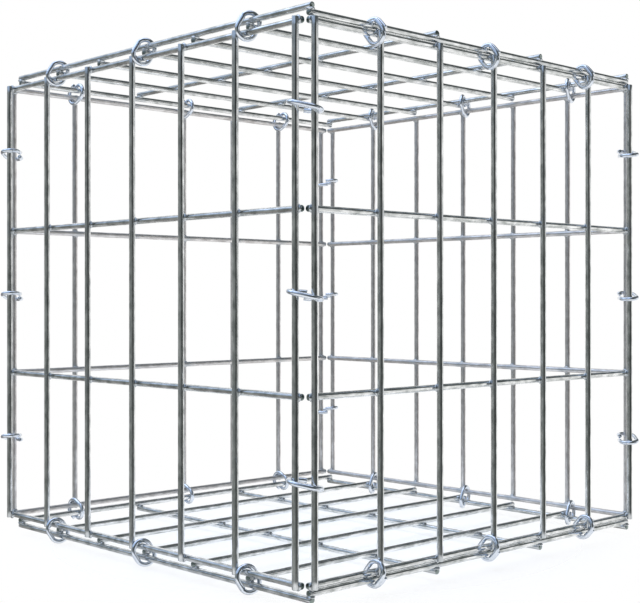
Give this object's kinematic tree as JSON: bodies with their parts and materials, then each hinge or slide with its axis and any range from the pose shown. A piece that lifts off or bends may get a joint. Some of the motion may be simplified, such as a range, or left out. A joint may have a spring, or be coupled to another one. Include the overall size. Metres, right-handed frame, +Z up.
{
  "type": "empty wire gabion basket",
  "caption": "Empty cube-shaped gabion basket of galvanised welded wire mesh, its panels closed along every edge with steel C-rings, ready to be filled with stones.",
  "frame": {"origin": "on the ground under the middle of the basket", "axes": "+Z up, -Y out of the front panel, +X out of the right-hand panel"},
  "size_m": [0.3272, 0.3258, 0.3263],
  "materials": {
    "galvanised_wire": "hot-dip galvanised welded wire, dull grey with a fine spangle",
    "ring_wire": "zinc-coated spring wire, brighter than the mesh"
  },
  "bodies": {
    "root": {"front_panel": "galvanised_wire", "back_panel": "galvanised_wire", "left_panel": "galvanised_wire", "right_panel": "galvanised_wire", "base_panel": "galvanised_wire", "lid_panel": "galvanised_wire", "front_top_ring_1": "ring_wire", "front_top_ring_2": "ring_wire", "front_top_ring_3": "ring_wire", "front_base_ring_1": "ring_wire", "front_base_ring_2": "ring_wire", "front_base_ring_3": "ring_wire", "back_top_ring_1": "ring_wire", "back_top_ring_2": "ring_wire", "back_top_ring_3": "ring_wire", "back_base_ring_1": "ring_wire", "back_base_ring_2": "ring_wire", "back_base_ring_3": "ring_wire", "left_top_ring_1": "ring_wire", "left_top_ring_2": "ring_wire", "left_top_ring_3": "ring_wire", "left_base_ring_1": "ring_wire", "left_base_ring_2": "ring_wire", "left_base_ring_3": "ring_wire", "right_top_ring_1": "ring_wire", "right_top_ring_2": "ring_wire", "right_top_ring_3": "ring_wire", "right_base_ring_1": "ring_wire", "right_base_ring_2": "ring_wire", "right_base_ring_3": "ring_wire", "front_left_ring_1": "ring_wire", "front_left_ring_2": "ring_wire", "front_left_ring_3": "ring_wire", "front_right_ring_1": "ring_wire", "front_right_ring_2": "ring_wire", "front_right_ring_3": "ring_wire", "back_left_ring_1": "ring_wire", "back_left_ring_2": "ring_wire", "back_left_ring_3": "ring_wire", "back_right_ring_1": "ring_wire", "back_right_ring_2": "ring_wire", "back_right_ring_3": "ring_wire"}
  },
  "joints": []
}
